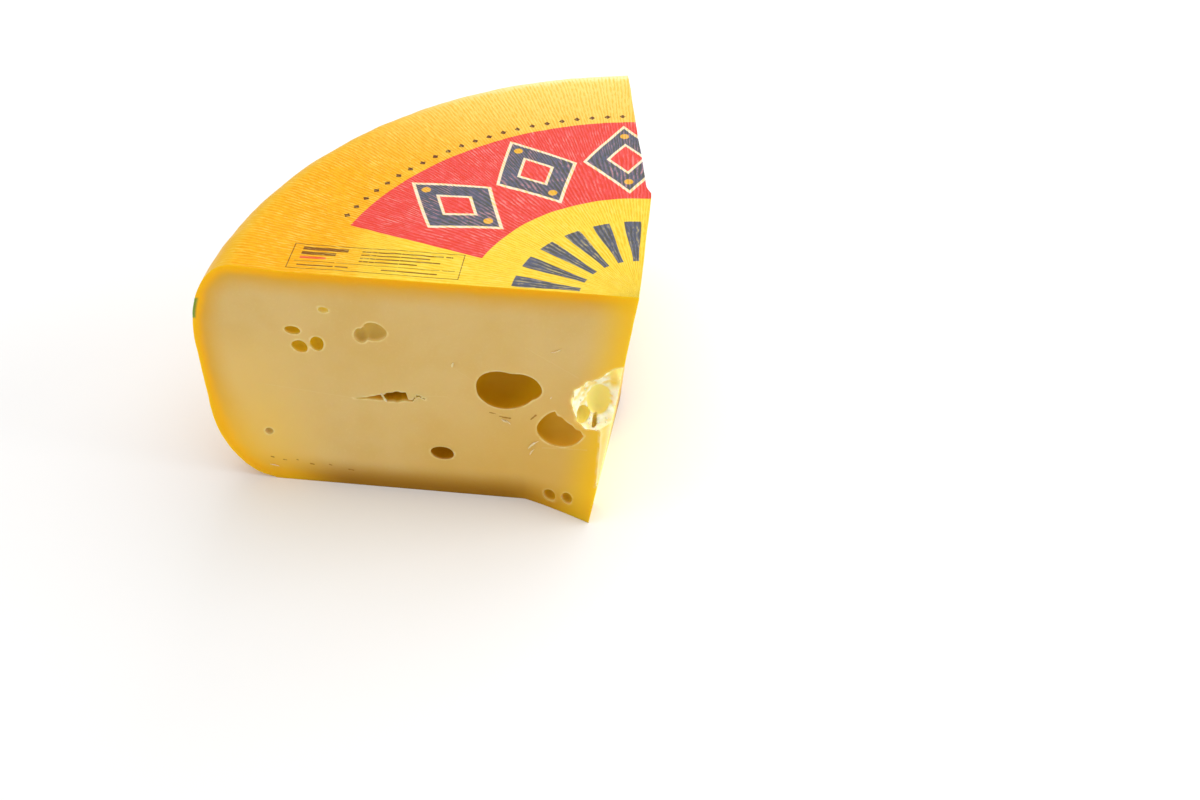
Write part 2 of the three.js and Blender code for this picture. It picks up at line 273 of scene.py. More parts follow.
HOLLOWS = hollow_fields()
FAR, RIDGE = 30.0, 0.6


def span_round(reach):
    """How far from a hollow's middle its field is worked out, in mm."""
    return 1.4 * reach + 6


def hollow_field(x, y, z):
    """Distance in mm outside the nearest hollow, for arrays of scattered points."""
    field = np.full(x.shape, FAR)
    for hollow, place, reach in HOLLOWS:
        span = span_round(reach)
        near = (abs(x - place[0]) < span) & (abs(y - place[1]) < span) & (abs(z - place[2]) < span)
        if near.any():
            field[near] = blend_hollows(field[near], hollow(x[near], y[near], z[near]), RIDGE)
    return field


# ---- The skin of the quarter --------------------------------------------------------------------------
# Rind, cuts and hollows are one unbroken skin of small four-sided faces. It is drawn where the form's fields
# cross nought on a grid that is finer at the front, and its corners are then set on the true edges.

WHEEL, FRONT, RIGHT, HOLLOW = range(4)


def part_fields(x, y, z):
    front = front_cut_y(x, z) - y
    right = x - right_cut_x(y, z)
    return np.stack([wheel_field(x, y, z), front, right, -hollow_field(x, y, z)])


def grid_line(*stretches):
    """Coordinates from a start, through (end, spacing) stretches."""
    line = [stretches[0]]
    for end, spacing in stretches[1:]:
        count = max(1, round((end - line[-1]) / spacing))
        line.extend(np.linspace(line[-1], end, count + 1)[1:])
    return np.array(line)


grid = (
    grid_line(-166.4, (-88, 1.1), (-79, 0.75), (-30, 1.1), (1.6, 0.75)),
    grid_line(-11.8, (16, 0.8), (166.6, 1.5)),
    grid_line(-0.9, (36, 1.0), (45, 0.75), (53, 0.55), (74, 0.75), (106.6, 1.0)),
)


def grid_fields():
    """The four fields on the whole grid, with each hollow worked out only round its own place."""
    x, y, z = np.meshgrid(*grid, indexing="ij", sparse=True)
    shape = tuple(len(line) for line in grid)
    hollow = np.full(shape, FAR, dtype=np.float32)
    for field, place, reach in HOLLOWS:
        span = span_round(reach)
        block = tuple(slice(*np.searchsorted(line, (p - span, p + span))) for line, p in zip(grid, place))
        bx, by, bz = x[block[0], :, :], y[:, block[1], :], z[:, :, block[2]]
        values = field(bx + 0 * by + 0 * bz, by + 0 * bx, bz + 0 * bx)
        hollow[block] = blend_hollows(hollow[block], values, RIDGE)
    wheel = wheel_field(x, y, z).astype(np.float32)
    front = np.broadcast_to(front_cut_y(x, z) - y, shape)
    right = np.broadcast_to(x - right_cut_x(y, z), shape)
    return wheel, front, right, -hollow


def skin_faces(fields):
    """Where the grid's edges leave the cheese, the surface that each of them meets there, and the four cells
    that a face at that place joins."""
    inside = np.maximum.reduce(fields) < 0
    cells = np.array(inside.shape) - 1
    points, labels, quads = [], [], []
    for axis in range(3):
        first = [slice(None)] * 3
        second = [slice(None)] * 3
        first[axis], second[axis] = slice(None, -1), slice(1, None)
        first, second = tuple(first), tuple(second)
        at = np.argwhere(inside[first] != inside[second])
        outward = inside[first][tuple(at.T)]
        low = np.stack([field[first][tuple(at.T)] for field in fields])
        high = np.stack([field[second][tuple(at.T)] for field in fields])
        start, end = np.where(outward, low, high), np.where(outward, high, low)
        share = np.where(end >= 0, start / np.minimum(start - end, -1e-6), 2.0)
        first_met = share.min(axis=0)
        point = np.stack([line[at[:, n]] for n, line in enumerate(grid)], axis=1)
        along = np.where(outward, first_met, 1 - first_met)
        point[:, axis] += along * (grid[axis][at[:, axis] + 1] - grid[axis][at[:, axis]])
        u, v = (axis + 1) % 3, (axis + 2) % 3
        ring = []
        for du, dv in ((-1, -1), (0, -1), (0, 0), (-1, 0)):
            cell = at.copy()
            cell[:, u] += du
            cell[:, v] += dv
            ring.append((cell[:, 0] * cells[1] + cell[:, 1]) * cells[2] + cell[:, 2])
        ring = np.stack(ring, axis=1)
        ring[~outward] = ring[~outward][:, ::-1]
        points.append(point)
        labels.append(share.argmin(axis=0))
        quads.append(ring)
    return np.concatenate(points), np.concatenate(labels), np.concatenate(quads)


PROBE, NORMAL_PROBE, TIE = 0.02, 0.05, 1e-3


def settle(points, touches, steps=6, furthest=0.8):
    """Moves each point onto every one of the four surfaces that it touches, so that edges come out crisp."""
    start = points.copy()
    for _ in range(steps):
        values = part_fields(*points.T)
        slopes = np.empty((4, 3, len(points)))
        for axis in range(3):
            step = np.zeros(3)
            step[axis] = PROBE
            rise = part_fields(*(points + step).T) - part_fields(*(points - step).T)
            slopes[:, axis] = rise / (2 * PROBE)
        slopes = np.where(touches[:, None, :], slopes, 0).transpose(2, 0, 1)
        wanted = np.where(touches, values, 0).T
        square = slopes @ slopes.transpose(0, 2, 1) + TIE * np.eye(4)
        shift = (slopes.transpose(0, 2, 1) @ np.linalg.solve(square, wanted[..., None]))[..., 0]
        points = np.clip(points - shift, start - furthest, start + furthest)
    return points


def make_skin():
    crossings, labels, rings = skin_faces(grid_fields())
    corners = np.unique(rings.ravel(), return_inverse=True)[1].ravel()
    share = np.bincount(corners)

    def gathered(values):
        return np.bincount(corners, weights=np.repeat(values, 4))

    points = np.stack([gathered(crossings[:, n]) / share for n in range(3)], axis=1)
    touches = np.stack([gathered(labels == n) > 0 for n in range(4)])
    return settle(points, touches), corners.reshape(rings.shape), labels, touches


skin_points, skin_quads, skin_labels, skin_touches = make_skin()


# ---- Relief -------------------------------------------------------------------------------------------
# The skin isn't true: the rind sags and dimples a little, the knife left faint waves, the eyes' walls are
# slightly lumpy, and the torn paste is crumbly. Each region's points move along its own normal, in mm.

# Each layer of waves: height, shortest and longest wave, how many waves, and the seed of their draw.
RIND_WAVES = [(0.10, (14, 40), 10, 3), (0.05, (5, 9), 12, 4)]
CUT_WAVES = [(0.06, (12, 30), 10, 5)]
EYE_WAVES = [(0.10, (4, 9), 10, 6)]
CRUMB_WAVES = [(0.65, (3.2, 6), 12, 7), (0.35, (1.8, 2.8), 14, 8)]
RIND_SINK, CUT_SINK, CUT_STRETCH = 0.22, 0.05, (1, 1, 1.6)
CRUMB_HEIGHT, CRUMBLY_Z, LEAST_CRUMB = 0.6, (38, 46), 0.2
NEAR = (0.3, 1.2)
CLEAN_PULL = dict(x=(-12.5, -10.5), z=(50, 54), smoothness=0.9)
CLEAN_SLIVER = dict(z=(40, 44), share=0.95)
BASE_Z = 0.05


def ripples(points, lengths, count, seed):
    """Smooth seeded waves through space, about -1 to 1, with wavelengths in mm between the two lengths."""
    draw = np.random.default_rng(seed)
    total = np.zeros(len(points))
    for _ in range(count):
        direction = draw.normal(size=3)
        direction *= 2 * math.pi / (np.linalg.norm(direction) * draw.uniform(*lengths))
        total += np.sin(points @ direction + draw.uniform(0, 2 * math.pi))
    return total / math.sqrt(count)


def wave_relief(points, layers):
    return sum(height * ripples(points, *waves) for height, *waves in layers)


def outward_normals(points, touches):
    slopes = np.empty((4, 3, len(points)))
    for axis in range(3):
        step = np.zeros(3)
        step[axis] = NORMAL_PROBE
        slopes[:, axis] = part_fields(*(points + step).T) - part_fields(*(points - step).T)
    slopes /= np.maximum(np.linalg.norm(slopes, axis=1, keepdims=True), 1e-9)
    total = np.where(touches[:, None, :], slopes, 0).sum(axis=0).T
    return total / np.maximum(np.linalg.norm(total, axis=1, keepdims=True), 1e-9)


def share_near(field):
    """1 where a field is nought, and 0 a little way from it."""
    return 1 - smooth(np.abs(field), *NEAR)


on_hollow = skin_touches[HOLLOW]
skin_x, skin_z = skin_points[:, 0], skin_points[:, 2]
on_sliver = share_near(sliver_field(*skin_points.T))
pulled_off = np.maximum(share_near(bite_field(*skin_points.T)), on_sliver)
smooth_tear = smooth(skin_x, *CLEAN_PULL["x"]) * smooth(skin_z, *CLEAN_PULL["z"])
clean_sliver = CLEAN_SLIVER["share"] * on_sliver * (1 - smooth(skin_z, *CLEAN_SLIVER["z"]))
smooth_tear = np.maximum(smooth_tear, clean_sliver)
torn = np.where(on_hollow, pulled_off * (1 - CLEAN_PULL["smoothness"] * smooth_tear), 0)
tear = np.where(on_hollow, np.maximum(pulled_off, share_near(torn_field(*skin_points.T))), 0)
crumb = wave_relief(skin_points, CRUMB_WAVES)
crumb *= LEAST_CRUMB + (1 - LEAST_CRUMB) * smooth(skin_z, *CRUMBLY_Z)
tear_marks = dict(torn=torn, tear=tear, smooth_tear=np.where(on_hollow, smooth_tear, 0), crumb=crumb)

rind_relief = np.minimum(wave_relief(skin_points, RIND_WAVES) - RIND_SINK, 0)
cut_relief = wave_relief(skin_points * CUT_STRETCH, CUT_WAVES) - CUT_SINK
hollow_relief = wave_relief(skin_points, EYE_WAVES) * (1 - torn) + CRUMB_HEIGHT * crumb * torn
move = np.where(skin_touches[WHEEL], rind_relief, cut_relief)
move = np.where(on_hollow, hollow_relief, move)
move = np.where(skin_z < BASE_Z, 0, move)
normals = outward_normals(skin_points, skin_touches)
relief_points = skin_points + normals * move[:, None]
relief_points[:, 2] = np.maximum(relief_points[:, 2], 0)


# ---- Marks that the finish needs ----------------------------------------------------------------------
# How deep each point lies under the rind, under a knife cut, from a mouth's lip and from the corner: the
# finishes below read these to place the golden outer paste, the painted highlight at the lips and the painted
# glow at the corner.

DEEPEST_MARK = 40
SHARP_ANGLE = math.radians(40)


def skin_marks(points):
    wheel, front, right, hollow = part_fields(*points.T)
    cut = -np.maximum(front, right)
    depths = dict(
        rind_depth=-wheel,
        cut_depth=cut,
        lip_depth=np.maximum(cut, -hollow),
        corner_depth=-np.minimum(front, right),
    )
    return {name: np.clip(depth, 0, DEEPEST_MARK) for name, depth in depths.items()}


def make_quarter():
    mesh = bpy.data.meshes.new("cheese_quarter")
    places = (relief_points + (axis_x, axis_y, 0)) * MM
    mesh.from_pydata(places.tolist(), [], skin_quads.tolist())
    for name, values in {**skin_marks(skin_points), **tear_marks}.items():
        values_at = mesh.attributes.new(name, "FLOAT", "POINT")
        values_at.data.foreach_set("value", values.astype(np.float32))
    finish = np.select([skin_labels == WHEEL, skin_labels != HOLLOW], [0, 1], 2)
    mesh.polygons.foreach_set("material_index", finish.astype(np.int32))
    mesh.polygons.foreach_set("use_smooth", np.ones(len(skin_quads), dtype=bool))
    shape = bmesh.new()
    shape.from_mesh(mesh)
    base = [face for face in shape.faces if all(vertex.co.z < 1e-6 for vertex in face.verts)]
    bmesh.ops.dissolve_faces(shape, faces=base, use_verts=True)
    shape.to_mesh(mesh)
    shape.free()
    mesh.set_sharp_from_angle(angle=SHARP_ANGLE)
    quarter = bpy.data.objects.new("cheese_quarter", mesh)
    bpy.context.collection.objects.link(quarter)
    return quarter


cheese_quarter = make_quarter()
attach(cheese_quarter, "root")
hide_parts("cheese")


# ---- Printed rind -------------------------------------------------------------------------------------
# The round's thin yellow coat, pressed on through cloth that left fine ridges which run out from the middle.
# The print on it is plain: a red field with slate lozenges that are edged with cream and bear gold dots,
# slate rays, a ring of beads, a framed label of thin bars, and green blocks round the rim.

def paint(red, green, blue):
    """A colour given as a screen shows it, 0 to 255, as Blender's linear RGBA."""
    def linear(value):
        value /= 255
        return value / 12.92 if value <= 0.04045 else ((value + 0.055) / 1.055) ** 2.4
    return (linear(red), linear(green), linear(blue), 1)


def put(socket, value):
    """Links a socket into another one, or sets a plain value on it."""
    if isinstance(value, bpy.types.NodeSocket):
        socket.id_data.links.new(value, socket)
    elif value is not None:
        socket.default_value = value


def node(tree, kind, inputs=(), **settings):
    made = tree.nodes.new(kind)
    for name, value in settings.items():
        setattr(made, name, value)
    for name, value in dict(inputs).items():
        put(made.inputs[name], value)
    return made


def tree_of(*values):
    """The node tree in which the sockets among some values stand."""
    return next(value.id_data for value in values if isinstance(value, bpy.types.NodeSocket))


def calc(operation, *values):
    made = node(tree_of(*values), "ShaderNodeMath", operation=operation)
    for socket, value in zip(made.inputs, values):
        put(socket, value)
    return made.outputs[0]


def times(first, *others):
    for other in others:
        first = calc("MULTIPLY", first, other)
    return first


def ease(value, span, low=0.0, high=1.0):
    """low before the span and high after it, with a smooth step between them."""
    made = node(tree_of(value), "ShaderNodeMapRange", interpolation_type="SMOOTHSTEP")
    names = ("Value", "From Min", "From Max", "To Min", "To Max")
    for name, amount in zip(names, (value, *span, low, high)):
        put(made.inputs[name], amount)
    return made.outputs[0]


def fade(value, span, full=1.0):
    """full before the span and nought after it."""
    return ease(value, span, full, 0.0)


def band(value, span, soft):
    """1 within the span and nought outside it, eased over soft at both ends."""
    start, end = span
    rise = ease(value, (start - soft, start + soft))
    return times(rise, fade(value, (end - soft, end + soft)))


def tint(share, under, over, way="MIX"):
    """The colour over laid on the colour under, by share."""
    made = node(tree_of(share, under, over), "ShaderNodeMix", data_type="RGBA", blend_type=way)
    made.clamp_factor = True
    put(made.inputs["Factor"], share)
    put(made.inputs[6], under)
    put(made.inputs[7], over)
    return made.outputs[2]


def noise(place, scale, detail=2.0, roughness=0.5):
    inputs = {"Vector": place, "Scale": scale, "Detail": detail, "Roughness": roughness}
    return node(tree_of(place), "ShaderNodeTexNoise", inputs).outputs["Fac"]


def mark(tree, name):
    return node(tree, "ShaderNodeAttribute", attribute_name=name).outputs["Fac"]


def new_group(name, inputs, outputs):
    """An empty node group with the sockets given as name and kind: its tree, inputs and output sockets."""
    tree = bpy.data.node_groups.new(name, "ShaderNodeTree")
    for in_out, sockets in (("INPUT", inputs), ("OUTPUT", outputs)):
        for label, kind in sockets.items():
            tree.interface.new_socket(label, in_out=in_out, socket_type="NodeSocket" + kind)
    return tree, tree.nodes.new("NodeGroupInput").outputs, tree.nodes.new("NodeGroupOutput").inputs


def use(tree, group, **inputs):
    made = node(tree, "ShaderNodeGroup", node_tree=group)
    for name, value in inputs.items():
        put(made.inputs[name], value)
    return made.outputs


def wheel_place_group():
    """Where a point lies on the wheel: its place in mm from the axis, its radius, and its turn in degrees
    from the front cut's line towards the back."""
    tree, _, out = new_group("wheel_place", {}, dict(Place="Vector", X="Float", Y="Float", Z="Float",
                                                      Radius="Float", Turn="Float"))
    place = node(tree, "ShaderNodeTexCoord").outputs["Object"]
    moved = node(tree, "ShaderNodeVectorMath", operation="MULTIPLY_ADD")
    put(moved.inputs[0], place)
    moved.inputs[1].default_value = (1 / MM,) * 3
    moved.inputs[2].default_value = (-axis_x, -axis_y, 0)
    parts = node(tree, "ShaderNodeSeparateXYZ", {"Vector": moved.outputs[0]}).outputs
    square = calc("MULTIPLY_ADD", parts["X"], parts["X"], times(parts["Y"], parts["Y"]))
    turn = calc("ARCTAN2", parts["Y"], times(parts["X"], -1.0))
    put(out["Place"], moved.outputs[0])
    for name in "XYZ":
        put(out[name], parts[name])
    put(out["Radius"], calc("SQRT", square))
    put(out["Turn"], calc("DEGREES", turn))
    return tree


wheel_place = wheel_place_group()

# Degrees between ridges near the axis, radii in mm past which they come twice as close, and what bends them.
RIDGES = dict(spacing=2.4, closer_from=(42.0, 84.0), merge=1.15, length=3.4, crooked=1.1, even_share=0.5)
RIDGE_BEND = dict(to_a_ridge=0.5, stretch=3, detail=2.0)
RIDGE_GRAIN = dict(to_a_ridge=1.6, stretch=1, detail=3.0)
GRAIN_SPAN, GRAIN_ROUGHNESS = (0.32, 0.68), 0.6


def cloth_ridges_group():
    """Fine ridges 0.9 to 1.8 mm apart that run out from the axis, a little crooked, as height from 0 to 1."""
    tree, given, out = new_group("cloth_ridges", dict(Radius="Float", Turn="Float", Z="Float"),
                                 dict(Height="Float"))

    def streaks(spacing, to_a_ridge, stretch, detail):
        length = stretch * RIDGES["length"]
        place = node(tree, "ShaderNodeCombineXYZ", {
            "X": times(given["Turn"], to_a_ridge / spacing),
            "Y": calc("DIVIDE", given["Radius"], length),
            "Z": calc("DIVIDE", given["Z"], length),
        }).outputs[0]
        return noise(place, 1.0, detail, GRAIN_ROUGHNESS)

    def ridges(spacing):
        bend = streaks(spacing, **RIDGE_BEND)
        phase = calc("MULTIPLY_ADD", bend, RIDGES["crooked"] * 2 * math.pi,
                     times(given["Turn"], 2 * math.pi / spacing))
        even = calc("MULTIPLY_ADD", calc("SINE", phase), 0.5, 0.5)
        uneven = ease(streaks(spacing, **RIDGE_GRAIN), GRAIN_SPAN)
        share = RIDGES["even_share"]
        return calc("MULTIPLY_ADD", even, share, times(uneven, 1 - share))

    spacing = RIDGES["spacing"]
    height = ridges(spacing)
    for radius in RIDGES["closer_from"]:
        spacing /= 2
        share = ease(given["Radius"], (radius, RIDGES["merge"] * radius))
        closer = times(share, ridges(spacing))
        height = calc("MULTIPLY_ADD", height, calc("SUBTRACT", 1.0, share), closer)
    put(out["Height"], height)
    return tree


cloth_ridges = cloth_ridges_group()

PRINT_RED = paint(226, 72, 68)
PRINT_CREST_HIGHLIGHT = paint(240, 164, 156)
PRINT_SLATE = paint(88, 92, 112)
PRINT_CREAM = paint(240, 226, 196)
PRINT_GOLD = paint(228, 176, 56)
PRINT_RULE = paint(104, 58, 26)
PRINT_GREEN = paint(38, 140, 66)

# Radii, lengths and heights in mm, turns in degrees, and the lozenges' and the rays' edges as shares.
PRINT_TOP_Z, PRINT_CREEP = (90.0, 95.0), 0.2
PANEL = dict(radius=(60.0, 113.3), turn=(15.5, 134.0), soft=0.15, soft_turn=0.12)
LOZENGE = dict(radius=87.0, half_along=15.5, half_across=21.5, spacing=24.0, first_turn=33.0, soft=0.012)
LOZENGE_EDGES = [(1.1, PRINT_CREAM), (1.0, PRINT_SLATE), (0.5, PRINT_CREAM), (0.41, PRINT_RED)]
LOZENGE_DOT = dict(out=0.74, edge=(1.6, 1.9))
RAYS = dict(radius=(21.0, 45.0), spacing=15.0, first_turn=6.0, half_width=3.1, narrow=0.35, edge=(0.94, 1.06))
BEADS = dict(radius=117.6, spacing=3.0, edge=(1.15, 1.5), from_turn=(16.5, 16.6))
RIM_BLOCKS = dict(z=(79.0, 89.0), spacing=15.0, edge=(4.6, 4.8), from_radius=(156.0, 157.0), soft=0.3)
LABEL = dict(x=(-126.0, -64.0), y=(3.0, 17.2), frame=(-0.3, 0.05), ink=0.85)
LABEL_BREAKS = dict(scale=0.5, span=(0.36, 0.44), thinner_than=1.0)
LABEL_BARS = [
    ((-122.5, -106.0), (14.0, 15.8), PRINT_RULE),
    ((-122.5, -110.0), (11.3, 13.1), PRINT_RULE),
    ((-122.5, -113.0), (9.0, 10.3), PRINT_RED),
    ((-101.0, -68.0), (14.7, 15.4), PRINT_RULE),
    ((-101.0, -76.0), (12.8, 13.5), PRINT_RULE),
    ((-101.0, -72.0), (10.9, 11.6), PRINT_RULE),
    ((-101.0, -80.0), (9.0, 9.7), PRINT_RULE),
    ((-124.0, -66.0), (7.3, 7.6), PRINT_RULE),
    ((-122.5, -104.0), (4.8, 5.5), PRINT_RULE),
    ((-92.0, -72.0), (4.8, 5.5), PRINT_RULE),
]


def nearest_repeat(turn, first, spacing):
    """Degrees from the middle of the nearest of a row of repeats."""
    shifted = calc("ADD", turn, spacing / 2 - first)
    return calc("SUBTRACT", calc("FLOORED_MODULO", shifted, spacing), spacing / 2)


def along_row(turn, radius, first, spacing):
    """Millimetres along the ring from the middle of the nearest repeat."""
    return times(calc("RADIANS", nearest_repeat(turn, first, spacing)), radius)


def size_of(value):
    return calc("ABSOLUTE", value)


def lay_lozenges(colour, radius, turn, on_top):
    along = along_row(turn, radius, LOZENGE["first_turn"], LOZENGE["spacing"])
    across = calc("SUBTRACT", radius, LOZENGE["radius"])
    size = calc("ADD", calc("DIVIDE", size_of(along), LOZENGE["half_along"]),
                calc("DIVIDE", size_of(across), LOZENGE["half_across"]))
    row = (LOZENGE["first_turn"] - LOZENGE["spacing"] / 2, PANEL["turn"][1])
    in_row = times(on_top, band(turn, row, 0.1))
    for edge, shade in LOZENGE_EDGES:
        inside = fade(size, (edge - LOZENGE["soft"], edge + LOZENGE["soft"]))
        colour = tint(times(inside, in_row), colour, shade)
    from_dot = calc("SUBTRACT", size_of(across), LOZENGE_DOT["out"] * LOZENGE["half_across"])
    from_dot = calc("MULTIPLY_ADD", along, along, times(from_dot, from_dot))
    dot = fade(calc("SQRT", from_dot), LOZENGE_DOT["edge"])
    return tint(times(dot, in_row), colour, PRINT_GOLD)


def lay_rays(colour, radius, turn, on_top):
    along = size_of(along_row(turn, radius, RAYS["first_turn"], RAYS["spacing"]))
    half_width = times(ease(radius, RAYS["radius"], RAYS["narrow"]), RAYS["half_width"])
    ray = fade(calc("DIVIDE", along, half_width), RAYS["edge"])
    return tint(times(ray, on_top, band(radius, RAYS["radius"], 0.2)), colour, PRINT_SLATE)


def lay_beads(colour, radius, turn, on_top):
    along = along_row(turn, radius, 0.0, BEADS["spacing"])
    across = calc("SUBTRACT", radius, BEADS["radius"])
    bead = fade(calc("ADD", size_of(along), size_of(across)), BEADS["edge"])
    return tint(times(bead, on_top, ease(turn, BEADS["from_turn"])), colour, PRINT_RULE)


def lay_label(colour, x, y, on_top):
    outside = []
    for value, (low, high) in ((x, LABEL["x"]), (y, LABEL["y"])):
        from_middle = size_of(calc("SUBTRACT", value, (low + high) / 2))
        outside.append(calc("SUBTRACT", from_middle, (high - low) / 2))
    line = band(calc("MAXIMUM", *outside), LABEL["frame"], 0.1)
    colour = tint(times(line, on_top, LABEL["ink"]), colour, PRINT_RULE)
    along = node(tree_of(x), "ShaderNodeCombineXYZ", {"X": x}).outputs[0]
    broken = ease(noise(along, LABEL_BREAKS["scale"]), LABEL_BREAKS["span"])
    for across, up, shade in LABEL_BARS:
        bar = times(band(x, across, 0.2), band(y, up, 0.12), on_top, LABEL["ink"])
        if up[1] - up[0] < LABEL_BREAKS["thinner_than"]:
            bar = times(bar, broken)
        colour = tint(bar, colour, shade)
    return colour


def lay_rim_blocks(colour, radius, turn, z):
    off_turn = size_of(nearest_repeat(turn, 0.0, RIM_BLOCKS["spacing"]))
    block = times(band(z, RIM_BLOCKS["z"], RIM_BLOCKS["soft"]), fade(off_turn, RIM_BLOCKS["edge"]))
    block = times(block, ease(radius, RIM_BLOCKS["from_radius"]))
    return tint(block, colour, PRINT_GREEN)


def print_group():
    """The plain printed design, laid over the coat's own colour, and where its field is inked."""
    tree, given, out = new_group("print", dict(Coat="Color", Ridges="Float"),
                                 dict(Color="Color", Ink="Float"))
    at = use(tree, wheel_place)
    creep = calc("MULTIPLY_ADD", given["Ridges"], PRINT_CREEP, -PRINT_CREEP / 2)
    radius = calc("ADD", at["Radius"], creep)
    turn = calc("MULTIPLY_ADD", creep, 0.5, at["Turn"])
    on_top = ease(at["Z"], PRINT_TOP_Z)
    panel = times(band(radius, PANEL["radius"], PANEL["soft"]),
                  band(turn, PANEL["turn"], PANEL["soft_turn"]), on_top)
    colour = tint(panel, given["Coat"], PRINT_RED)
    for lay in (lay_lozenges, lay_rays, lay_beads):
        colour = lay(colour, radius, turn, on_top)
    colour = lay_label(colour, at["X"], at["Y"], on_top)
    colour = lay_rim_blocks(colour, at["Radius"], turn, at["Z"])
    put(out["Color"], colour)
    put(out["Ink"], panel)
    return tree


printed = print_group()

RIND_YELLOW = paint(240, 206, 60)
RIND_DEEP = paint(236, 170, 6)
RIND_SIDE_LIT = paint(248, 186, 14)
RIND_FURROW_SHADE = (0.95, 0.8, 0.35, 1)
RIND_CREST_HIGHLIGHT = paint(242, 216, 104)
RIND_SHOULDER_SHEEN = paint(234, 182, 36)
RIND_FAR_SHOULDER_SHEEN = paint(248, 236, 176)
RIND_BACK_SHEEN = paint(242, 220, 124)

# Where the coat's tones lie, in mm from the axis or the base. Clouds shift the first by up to their spread.
DEEP_RADIUS, CLOUD_SPREAD = (105.0, 150.0), 50.0
SHOULDER = dict(radius=(144.5, 149.0), z=(80.0, 94.0), share=0.75, ragged=3.0, calm=0.6)
SIDE_LIT_Z, BACK_SHEEN_Y, FAR_SHEEN_Y = (40.0, 85.0), (60.0, 160.0), (90.0, 150.0)
FURROW_SPAN, CREST_SPAN, PATCH_SPAN = (0.2, 0.55), (0.5, 0.9), (0.4, 0.7)


def new_finish(name, **values):
    """A material, its tree and its shader's sockets, with the values that are the same all over."""
    material = bpy.data.materials.new(name)
    material.use_nodes = True
    tree = material.node_tree
    shader = tree.nodes["Principled BSDF"]
    for label, value in values.items():
        shader.inputs[label.replace("_", " ")].default_value = value
    return material, tree, shader.inputs


def bump(height, strength, distance):
    inputs = {"Height": height, "Strength": strength, "Distance": distance * MM}
    return node(tree_of(height), "ShaderNodeBump", inputs).outputs[0]


def rind_finish():
    material, tree, shader = new_finish(
        "printed_rind", Coat_Weight=0.03, Coat_Roughness=0.4, Specular_IOR_Level=0.1)
    at = use(tree, wheel_place)
    ridges = use(tree, cloth_ridges, Radius=at["Radius"], Turn=at["Turn"], Z=at["Z"])["Height"]
    cloud = noise(at["Place"], 0.05, 3.0, 0.6)
    outer = calc("MULTIPLY_ADD", cloud, CLOUD_SPREAD, at["Radius"])
    coat = tint(ease(outer, DEEP_RADIUS), RIND_YELLOW, RIND_DEEP)
    # Painted light: the coat's lower side is painted brighter and warmer, as if lit from the side.
    coat = tint(fade(at["Z"], SIDE_LIT_Z, 0.8), coat, RIND_SIDE_LIT)
    # Painted sheen: the coat is painted paler towards the back, for the sheen of the bright backdrop.
    coat = tint(ease(at["Y"], BACK_SHEEN_Y, 0.0, 0.85), coat, RIND_BACK_SHEEN)
    # Painted sheen: the shoulder band is painted paler than the coat round it, palest towards the back.
    pale = tint(ease(at["Y"], FAR_SHEEN_Y), RIND_SHOULDER_SHEEN, RIND_FAR_SHOULDER_SHEEN)
    edge = calc("MULTIPLY_ADD", ridges, SHOULDER["ragged"], at["Radius"])
    shoulder = times(ease(edge, SHOULDER["radius"]), ease(at["Z"], SHOULDER["z"]))
    coat = tint(times(shoulder, SHOULDER["share"]), coat, pale)
    design = use(tree, printed, Coat=coat, Ridges=ridges)
    relief = calc("MULTIPLY_ADD", shoulder, -SHOULDER["calm"], 1.0)
    # Painted shade: the furrows between the cloth ridges are darkened, less so on the shoulder.
    furrow_shade = times(fade(ridges, FURROW_SPAN, 0.85), relief)
    colour = tint(furrow_shade, design["Color"], RIND_FURROW_SHADE, "MULTIPLY")
    # Painted highlight: in scattered patches the ridges' crests are painted paler, pink on the red field.
    patch = ease(noise(at["Place"], 0.16, 3.0), PATCH_SPAN, 0.12, 0.5)
    crest_highlight = times(ease(ridges, CREST_SPAN), patch)
    colour = tint(crest_highlight, colour, tint(design["Ink"], RIND_CREST_HIGHLIGHT, PRINT_CREST_HIGHLIGHT))
    put(shader["Base Color"], colour)
    put(shader["Roughness"], ease(cloud, (0.3, 0.7), 0.4, 0.52))
    put(shader["Normal"], bump(times(ridges, relief), 0.7, 0.22))
    return material


# ---- Cut paste ----------------------------------------------------------------------------------------
# The knife's two flat cuts through firm, slightly moist paste. It is deep gold just under the rind, and it
# bears thin drag marks and pits. Light is painted on it too: a highlight at every mouth's lip, a glow at the
# corner for light that passes through it, more light at the left, and shade at its foot and in its nicks and
# pits.

PASTE = paint(225, 191, 120)
PASTE_DULL = paint(221, 184, 107)
PASTE_LOW = paint(220, 170, 58)
PASTE_AMBER = paint(226, 168, 24)
PASTE_AMBER_LIT = paint(246, 190, 44)
PASTE_EDGE = paint(240, 174, 0)
PASTE_EDGE_LIT = paint(255, 188, 4)
PASTE_LEFT_LIT = paint(234, 197, 114)
PASTE_LOW_LEFT_LIT = paint(246, 201, 86)
PASTE_PAINTED_GLOW = paint(246, 198, 14)
PASTE_CORNER_GLOW = paint(255, 230, 130)
# Pale curd and drag-mark tone, also used as the painted highlight at every lip.
PASTE_PALE_AND_LIP_HIGHLIGHT = paint(240, 216, 152)
PASTE_FOOT_SHADE = paint(146, 99, 20)
PASTE_NICK_SHADE = paint(160, 106, 8)
TRANSLUCENT = dict(Subsurface_Weight=0.4, Subsurface_Radius=(1.0, 0.55, 0.15), Subsurface_Scale=0.006)

